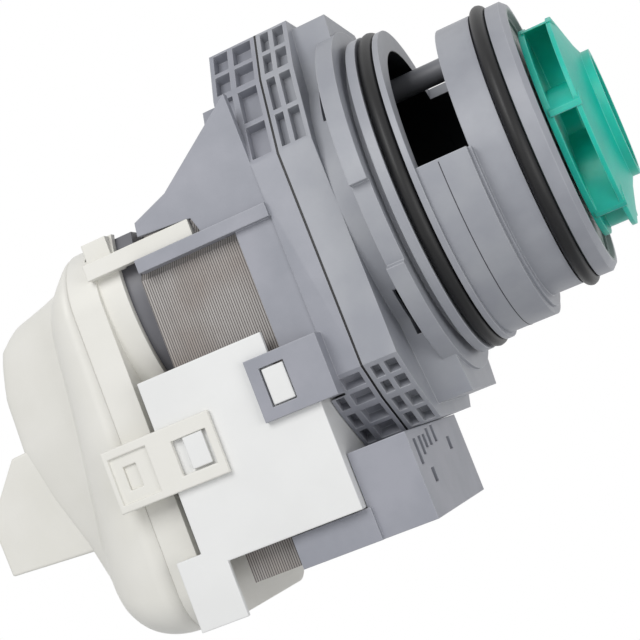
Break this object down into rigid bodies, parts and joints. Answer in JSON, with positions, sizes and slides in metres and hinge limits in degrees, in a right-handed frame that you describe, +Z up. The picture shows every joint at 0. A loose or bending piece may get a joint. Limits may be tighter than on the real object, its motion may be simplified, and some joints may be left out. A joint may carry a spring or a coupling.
{
  "type": "dishwasher pump motor",
  "caption": "Circulation pump motor with an enclosed stator, twin-sealed spigot and closed impeller on a through shaft.",
  "frame": {"origin": "on the shaft axis, at the shoulder behind the large sealing ring", "axes": "+X along the shaft towards the impeller, +Z up, away from the connector side"},
  "size_m": [0.1964, 0.0984, 0.1418],
  "materials": {
    "grey_plastic": "moulded grey polypropylene",
    "stained_plastic": "moulded plate with water stain",
    "seal_rubber": "moulded EPDM",
    "dark_plastic": "moulded dark plastic",
    "carbon": "sintered carbon",
    "lamination_steel": "stamped steel edges",
    "copper": "enamelled copper wire",
    "white_plastic": "moulded white plastic",
    "cream_plastic": "moulded cream plastic",
    "pin_brass": "tinned brass",
    "board": "circuit board",
    "shaft_steel": "ground steel",
    "magnet": "sintered ferrite",
    "teal_plastic": "moulded teal plastic"
  },
  "bodies": {
    "casing": {"pump_housing": "grey_plastic", "pump_barrel": "grey_plastic", "chamber_ring": "grey_plastic", "pressure_tube": "grey_plastic", "back_plate": "stained_plastic", "large_o_ring": "seal_rubber", "small_o_ring": "seal_rubber", "joint_gasket": "seal_rubber", "motor_housing": "grey_plastic", "rotor_can": "dark_plastic", "front_bush": "carbon", "front_bush_mount": "seal_rubber", "rear_bush": "carbon", "rear_bush_mount": "seal_rubber", "stator_core": "lamination_steel", "coil_bobbins": "dark_plastic", "coil_windings": "copper", "coil_end_cover": "dark_plastic", "side_cover": "white_plastic", "rear_frame": "cream_plastic", "rear_cover": "cream_plastic", "latch_clip": "cream_plastic", "connector_block": "dark_plastic", "connector_pins": "pin_brass", "control_board": "board", "board_parts": "dark_plastic"},
    "rotor": {"shaft": "shaft_steel", "rotor_magnet": "magnet", "rotor_sleeve": "dark_plastic", "impeller": "teal_plastic", "impeller_nut": "teal_plastic"}
  },
  "joints": [
    {"name": "rotor_spin", "type": "hinge", "parent": "casing", "child": "rotor", "pos_m": [0, 0, 0], "axis": [1, 0, 0], "continuous": true}
  ]
}
